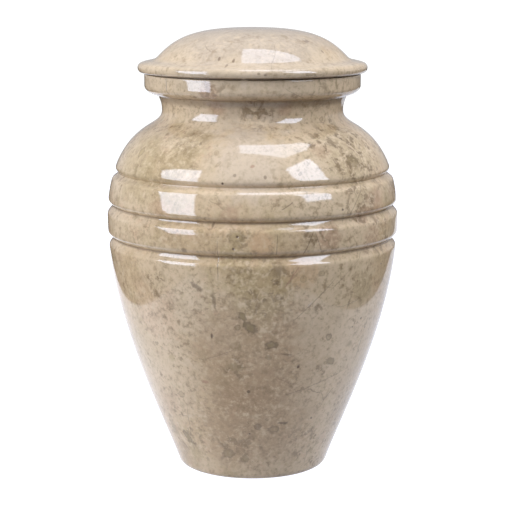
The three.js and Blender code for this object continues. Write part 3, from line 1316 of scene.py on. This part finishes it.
def flat_face(name: str, corners: Sequence[Place]) -> tuple[bpy.types.Object, bpy.types.NodeTree]:
    """Adds a face with four corners and a material of its own.

    Args:
        name: The name of the face and its material.
        corners: Its corners, in metres.

    Returns:
        The face and its material's nodes.
    """
    mesh = bpy.data.meshes.new(name)
    mesh.from_pydata(corners, [], [(0, 1, 2, 3)])
    face = bpy.data.objects.new(name, mesh)
    bpy.context.scene.collection.objects.link(face)
    material = bpy.data.materials.new(name)
    material.use_nodes = True
    mesh.materials.append(material)
    return face, material.node_tree


@dataclass(frozen=True)
class Softbox:
    """A flat lit face with four corners, in metres, that the polish mirrors and the camera doesn't see."""

    name: str
    corners: tuple[Place, ...]
    radiance: float
    tint: Colour

    def place(self) -> None:
        """Adds the lit face."""
        face, tree = flat_face(self.name, self.corners)
        face.visible_camera = False
        face.visible_shadow = False
        tree.nodes.remove(tree.nodes["Principled BSDF"])
        glow = Desk(tree).node("ShaderNodeEmission")
        glow.inputs["Color"].default_value = (*self.tint, 1.0)
        glow.inputs["Strength"].default_value = self.radiance
        tree.links.new(glow.outputs[0], tree.nodes["Material Output"].inputs["Surface"])


@dataclass(frozen=True)
class Studio:
    """A white table and backdrop, a dim room in front, softboxes and the camera. Lengths are metres.

    The side softboxes' corners are degrees right of the front and degrees up, and the overhead ones'
    corners are metres to the right and to the back. A span gives where a change begins and ends.
    """

    heart: float = 0.17
    camera_distance: float = 1.037
    camera_height: float = 0.3109
    camera_pitch: float = 9.8
    camera_lens: float = 121.3
    sensor: float = 36.0
    table_corners: tuple[Span, ...] = (
        (-0.285, -0.28), (0.19, -0.28), (0.72, 1.6), (-0.285, 1.6))
    table_paler: float = 1.03
    table_roughness: float = 0.6
    glow_span: Span = (-0.1, 0.2)
    table_colour: Colour = (0.32, 0.32, 0.33)
    table_shade: Span = (-0.12, -0.02)
    table_glow: float = 0.95
    table_dimmer: float = 0.76
    sheet_front: Span = (-0.2, -0.12)
    sheet_spread: float = 0.155
    sheet_edge: Span = (0.09, 0.01)
    back_fill: float = 0.8
    table_grey: float = 0.36
    seen_grey: float = 0.74
    left: float = 7.9
    right: float = 8.3
    above: float = 4.8
    lamp_tint: Colour = (0.90, 1.0, 1.23)
    room_tint: Colour = (0.97, 0.98, 1.05)
    backdrop: float = 0.5
    room: float = 0.02
    ceiling: float = 0.3
    seen_white: float = 1.1
    back_span: Span = (-0.1, 0.45)
    horizon_span: Span = (-0.12, 0.06)
    below_horizon: float = 0.15
    ceiling_span: Span = (0.55, 0.9)
    fill_span: Span = (0.3, 0.9)
    seen_span: Span = (-0.2, 0.4)
    lamp_distance: float = 1.1
    lamp_rise: float = 1.0
    left_corners: tuple[Span, ...] = ((-86.4, 29.5), (-48.7, 41.0), (-42.5, -7.0), (-66.0, -7.4))
    right_corners: tuple[Span, ...] = ((33.2, 45.5), (68.0, 52.0), (64.0, 12.0), (41.5, 13.0))
    overhead_corners: tuple[Span, ...] = ((-0.12, -0.06), (0.56, -0.06), (0.54, 0.17), (-0.09, 0.19))
    diffuser_corners: tuple[Span, ...] = ((-0.13, -0.32), (0.39, -0.42), (0.56, -0.06), (-0.12, -0.06))

    def camera(self) -> None:
        """Adds the camera: in front, a little above the lid, looking down a little."""
        data = bpy.data.cameras.new("camera")
        data.lens = self.camera_lens
        data.sensor_width = self.sensor
        data.dof.use_dof = False
        camera = bpy.data.objects.new("camera", data)
        camera.location = (0.0, -self.camera_distance, self.camera_height)
        camera.rotation_euler = (math.radians(90.0 - self.camera_pitch), 0.0, 0.0)
        bpy.context.scene.collection.objects.link(camera)
        bpy.context.scene.camera = camera

    def table(self) -> None:
        """Adds the table top under the urn, with a white sheet on it that spreads to the back."""
        table, tree = flat_face("table", [(x, y, 0.0) for x, y in self.table_corners])
        shader = tree.nodes["Principled BSDF"]
        desk = Desk(tree)
        place = desk.node("ShaderNodeTexCoord").outputs["Object"]
        mottle = desk.haze(place, size=0.4, detail=2.0, roughness=0.5)
        paler = tuple(min(1.0, self.table_paler * part) for part in self.table_colour)
        desk.feed(shader.inputs["Base Color"], desk.blend(mottle, self.table_colour, paler))
        axes = desk.axes(place)
        right, back = axes[0], axes[1]
        glow = desk.step(right, *self.glow_span, self.table_glow, self.table_glow * self.table_dimmer)
        aside = desk.step(back, *self.table_shade, 0.0, glow)
        path = desk.node("ShaderNodeLightPath").outputs
        mirrored = desk.times(aside, path["Is Glossy Ray"])
        spread = desk.math("MULTIPLY_ADD", back, self.sheet_spread, self.sheet_spread)
        beside = desk.minus(desk.math("ABSOLUTE", right), spread)
        paper = desk.times(desk.step(back, *self.sheet_front), desk.step(beside, *self.sheet_edge))
        shown = desk.step(paper, 0.0, 1.0, self.table_grey, self.seen_white)
        seen = desk.times(path["Is Camera Ray"], shown)
        shader.inputs["Emission Color"].default_value = (*self.room_tint, 1.0)
        desk.feed(shader.inputs["Emission Strength"], desk.plus(mirrored, seen))
        shader.inputs["Roughness"].default_value = self.table_roughness

    def surroundings(self) -> None:
        """Makes the world: white behind, dim in front and paler above.

        The camera sees it white behind the urn and pale grey elsewhere, and one fill from behind lights
        dull surfaces only.
        """
        world = bpy.data.worlds.new("studio")
        bpy.context.scene.world = world
        world.use_nodes = True
        desk = Desk(world.node_tree)
        background = world.node_tree.nodes["Background"]
        axes = desk.axes(desk.node("ShaderNodeTexCoord").outputs["Generated"])
        back, up = axes[1], axes[2]
        behind = desk.step(back, *self.back_span, self.room, self.backdrop)
        behind = desk.times(behind, desk.step(up, *self.horizon_span, self.below_horizon, 1.0))
        above = desk.step(up, *self.ceiling_span, 0.0, self.ceiling)
        path = desk.node("ShaderNodeLightPath").outputs
        fill = desk.times(desk.step(back, *self.fill_span, 0.0, self.back_fill), path["Is Diffuse Ray"])
        level = desk.plus(desk.plus(behind, above), fill)
        seen = desk.step(back, *self.seen_span, self.seen_grey, self.seen_white)
        to_camera = path["Is Camera Ray"]
        desk.feed(background.inputs["Color"], desk.blend(to_camera, self.room_tint, WHITE))
        desk.feed(background.inputs["Strength"], desk.between(to_camera, level, seen))

    def softboxes(self) -> tuple[Softbox, ...]:
        """Gives the lights: one at each side in front, and two that touch above."""
        top = self.heart + self.lamp_rise
        lamps = []
        for name, corners, radiance in (("left softbox", self.left_corners, self.left),
                                        ("right softbox", self.right_corners, self.right)):
            places = tuple(toward(*corner, self.lamp_distance) for corner in corners)
            lamps.append(Softbox(name, places, radiance, self.lamp_tint))
        for name, corners in (("overhead softbox", self.overhead_corners),
                              ("overhead diffuser", self.diffuser_corners)):
            places = tuple((*corner, top) for corner in corners)
            lamps.append(Softbox(name, places, self.above, self.lamp_tint))
        return tuple(lamps)

    def build(self) -> None:
        """Sets up the camera, the table, the surroundings and the lights."""
        self.camera()
        self.table()
        self.surroundings()
        for softbox in self.softboxes():
            softbox.place()
        bpy.context.scene.view_settings.view_transform = "Standard"


def stone_figure(skin: Skin, grooves: tuple[float, ...]) -> Limestone:
    """Gives the stone with the patches, shells and healed cracks of this block.

    Each table's rows give the fields of its class, in their order. Stains lie over those before them.

    Args:
        skin: The polished outside.
        grooves: The heights of the grooves' bottoms.

    Returns:
        The stone.
    """
    cream, olive, pink, shell = Limestone.cream, Limestone.olive, Limestone.pink, Limestone.shell
    dark, pit = Limestone.umber, Limestone.pit
    dull = (0.430, 0.276, 0.147)
    mud = (0.420, 0.305, 0.157)
    rust = (0.40, 0.215, 0.125)
    rose = (0.60, 0.378, 0.20)
    chalk = (0.630, 0.483, 0.328)
    grey = (0.275, 0.195, 0.09)
    dome_tone = (0.505, 0.392, 0.272)
    stains = (
        # The first two rows, dull patches at azimuth 4, are painted shade: they darken the lower front, where
        # less light falls.
        (4, 84, 52, 0.62, dull), (4, 38, 44, 0.62, dull), (3, 124, 24, 0.6, olive),
        (-48, 66, 40, 0.5, cream), (-44, 108, 22, 0.35, pink), (62, 76, 34, 0.3, cream),
        (-3, 197, 30, 0.75, chalk), (0, 262, 66, 0.8, dome_tone), (0, 248, 13, 0.8, chalk),
        (-50, 236, 34, 0.7, cream), (-12, 238, 24, 0.5, cream), (20, 238, 24, 0.55, cream),
        (50, 236, 34, 0.7, cream), (-44, 188, 22, 0.4, olive), (40, 60, 36, 0.45, cream),
        (-36, 132, 22, 0.45, cream), (-30, 222, 16, 0.5, cream), (34, 220, 18, 0.5, cream),
        (36, 190, 44, 0.7, cream), (38, 146, 40, 0.65, cream), (38, 104, 38, 0.75, cream),
        (-22, 182, 20, 0.4, cream), (-30, 207, 15, 0.6, mud), (-31, 196, 14, 0.55, mud),
        (48, 201, 30, 0.45, mud), (46, 195, 8, 0.55, shell), (50, 172, 14, 0.4, mud),
        (-23, 235, 7, 0.5, rust), (30, 154, 11, 0.5, rust), (21, 153, 7, 0.5, shell),
        (3, 152, 9, 0.7, rose), (-6, 155, 7, 0.5, mud), (47, 164, 8, 0.45, rust), (-8, 168, 7, 0.35, rust),
        (19, 135, 12, 0.5, rose), (-38, 170, 7, 0.3, rust), (48, 121, 13, 0.6, mud),
        (-51, 47, 11, 0.2, rust), (-58, 192, 26, 0.5, olive), (55, 170, 12, 0.4, rust),
        (52, 150, 10, 0.35, rust), (32, 202, 8, 0.3, rust), (-22, 226, 7, 0.45, rust),
        (20, 225, 6, 0.35, rust), (118, 190, 34, 0.5, cream), (96, 96, 40, 0.5, dull),
        (165, 60, 46, 0.5, dull), (205, 172, 36, 0.5, olive), (242, 100, 44, 0.4, cream),
        (262, 186, 26, 0.5, mud),
    )
    drifts = (
        (48, 202, 36, 0.85), (46, 172, 20, 0.8), (24, 153, 15, 0.8), (-5, 155, 11, 0.6),
        (-40, 125, 12, 0.8), (-30, 206, 13, 0.5), (4, 126, 24, 0.7), (48, 120, 13, 0.6), (-7, 76, 12, 0.7),
        (34, 24, 16, 0.6), (2, 225, 14, 0.8), (-8, 22, 16, 0.6), (32, 236, 18, 0.5), (-20, 236, 14, 0.5),
        (60, 150, 20, 0.7), (102, 168, 26, 0.8), (176, 196, 30, 0.7), (196, 98, 26, 0.7),
        (256, 150, 30, 0.8),
    )
    calms = (
        (-3, 197, 36, 0.5), (0, 262, 62, 0.3),
    )
    shells = (
        (-1, 102, 10, 5.5, -48, grey, 0.8, 0.5), (-4, 109, 6, 4, -30, grey, 0.8, 0.4),
        (-6, 102, 3.8, 3.2, 0, grey, 0.5, 0.4), (8, 91, 4.5, 7.5, 0, grey, 0.75, 0.5),
        (-7, 90, 7, 8, 0, grey, 0.3), (15, 84.5, 1.3, 8, 10, dark, 0.55),
        (7, 83, 3, 4.5, 20, grey, 0.5, 0.2), (38, 77, 5, 6.5, 20, grey, 0.6, 0.3),
        (34, 93, 4, 4.2, 0, grey, 0.25, 0.5), (48, 86, 4, 5, 0, grey, 0.5), (-8, 77, 6, 13, 10, grey, 0.5),
        (-23, 66, 2.2, 5, 0, rust, 0.6), (-34, 112, 4, 4, 0, grey, 0.35, 0.25),
        (-22, 126, 3, 10, 32, dark, 0.6), (-15, 118, 10, 2.6, -8, dark, 0.55),
        (27, 133, 4, 4.4, 0, grey, 0.35, 0.25), (9, 129, 2, 4.6, -25, dark, 0.6),
        (42, 113, 8, 1.8, 12, dark, 0.45), (23, 115, 5, 1.4, 42, chalk, 0.8),
        (17, 39, 1.7, 8, 4, dark, 0.7), (3, 37, 4, 4.6, 0, dark, 0.45, 0.3),
        (12, 35, 5, 8, 0, grey, 0.3, 0.4), (-45, 25, 11, 5, -42, grey, 0.65, 0.5),
        (-16, 18, 7, 8, 0, grey, 0.55, 0.4), (-5, 15, 5, 5, -30, grey, 0.55, 0.2),
        (-58, 27, 13, 8, -20, grey, 0.45), (-39, 55, 4, 5, 0, grey, 0.35, 0.2),
        (-39, 79, 6, 5, 0, olive, 0.6), (-58, 199, 6, 5, 0, olive, 0.9, 0.35),
        (-56, 189, 10, 3, -25, grey, 0.55), (47, 195, 7, 12, 20, grey, 0.55, 0.2),
        (46, 263, 1.6, 5, -20, dark, 0.5), (30, 266, 2, 4, 0, grey, 0.5), (-4, 241, 8, 4.5, 0, chalk, 0.6),
        (48, 239, 7, 2, 0, grey, 0.6), (-2, 221, 3, 5, 0, chalk, 0.6, 0.15),
        (-6, 156, 8, 11, 0, olive, 0.45, 0.3), (-7, 149, 1.5, 1.5, 0, pit, 0.9),
        (-5.5, 156, 1.4, 1.4, 0, pit, 0.85), (36, 169, 1.5, 1.5, 0, pit, 0.85),
        (-17, 96, 3.4, 1.5, 0, pit, 0.8), (52, 101, 1.6, 1.6, 0, pit, 0.85),
        (57, 94, 1.4, 1.4, 0, pit, 0.8), (21, 76, 2, 1.8, 0, pit, 0.9), (-2, 61, 2, 2, 0, dark, 0.85),
        (35, 40, 1.6, 1.6, 0, dark, 0.8), (-26, 147, 3, 4, 20, dark, 0.6),
        (-15, 162, 3.4, 1.8, 15, dark, 0.7), (-20, 254, 2.2, 1.6, 0, dark, 0.7),
        (-11, 253, 2.2, 1.6, 0, dark, 0.7), (-14, 250.5, 2.2, 1.6, 0, dark, 0.6),
        (51, 257, 2, 1.6, 0, dark, 0.5), (3, 246.6, 1.6, 2, 0, dark, 0.6),
        (6, 245.8, 1.6, 2.4, 0, dark, 0.7), (-25, 206, 2, 2, 0, dark, 0.5), (0, 195, 2, 2.4, 0, rust, 0.6),
        (-7, 190, 2, 2, 0, dark, 0.5), (5, 189, 2, 2, 0, dark, 0.6),
    )
    flaws = (
        (-50, 240, 0, 6.5, 0.32, dark, 0.95), (-13, 142, 0, 13, 0.3, dark, 0.75),
        (25, 117, 47, 20, 0.32, dark, 0.6), (40, 133, 50, 20, 0.28, dark, 0.4),
        (32, 63, 74, 22, 0.32, dark, 0.5), (15, 132, 34, 8, 0.4, rust, 0.95),
        (13, 173, 58, 4.5, 0.45, dark, 0.7), (9, 151, 3, 7, 0.35, dark, 0.6),
        (21, 151, 24, 8, 0.45, dark, 0.7), (25, 152, -20, 7, 0.4, dark, 0.6),
        (43, 172, 42, 17, 0.4, dark, 0.5), (-15, 84, 68, 11, 0.3, dark, 0.45),
        (-43, 40, 88, 4.5, 0.3, dark, 0.6),
    )
    return Limestone(
        skin,
        grooves,
        stains=tuple(Stain(*row) for row in stains),
        drifts=tuple(Patch(*row) for row in drifts),
        calms=tuple(Patch(*row) for row in calms),
        shells=tuple(Shell(*row) for row in shells),
        flaws=tuple(Flaw(*row) for row in flaws),
    )


def main(studio: Studio = Studio()) -> None:
    """Builds the studio and the two turned pieces, and dresses them in their stone.

    Args:
        studio: The camera, the table and the lights.
    """
    logging.basicConfig(level=logging.INFO, format="%(name)s: %(message)s")
    studio.build()

    collar_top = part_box("urn_body")[1].z * MILLIMETRES
    lid_low, lid_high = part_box("lid")
    vessel = Vessel(collar_top=collar_top)
    spigot_clearance = 1.0
    lid = Lid(
        seat=lid_low.z * MILLIMETRES + Lid.spigot_depth,
        spigot_radius=vessel.bore_radius - spigot_clearance,
        crown=lid_high.z * MILLIMETRES,
    )
    skin = Skin((vessel.outline(), lid.outline()))
    figure = stone_figure(skin, tuple(vessel.groove_middles().tolist())).group()
    materials = (PolishedStone().material(figure), TurnedStone().material(figure))
    for maker, node in ((vessel, "urn_body"), (lid, "lid")):
        piece = maker.build()
        for material in materials:
            piece.data.materials.append(material)
        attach(piece, "root")
        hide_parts(node)
        log.info("%s: %d points, %d faces", piece.name, len(piece.data.vertices), len(piece.data.polygons))


if __name__ == "__main__":
    main()
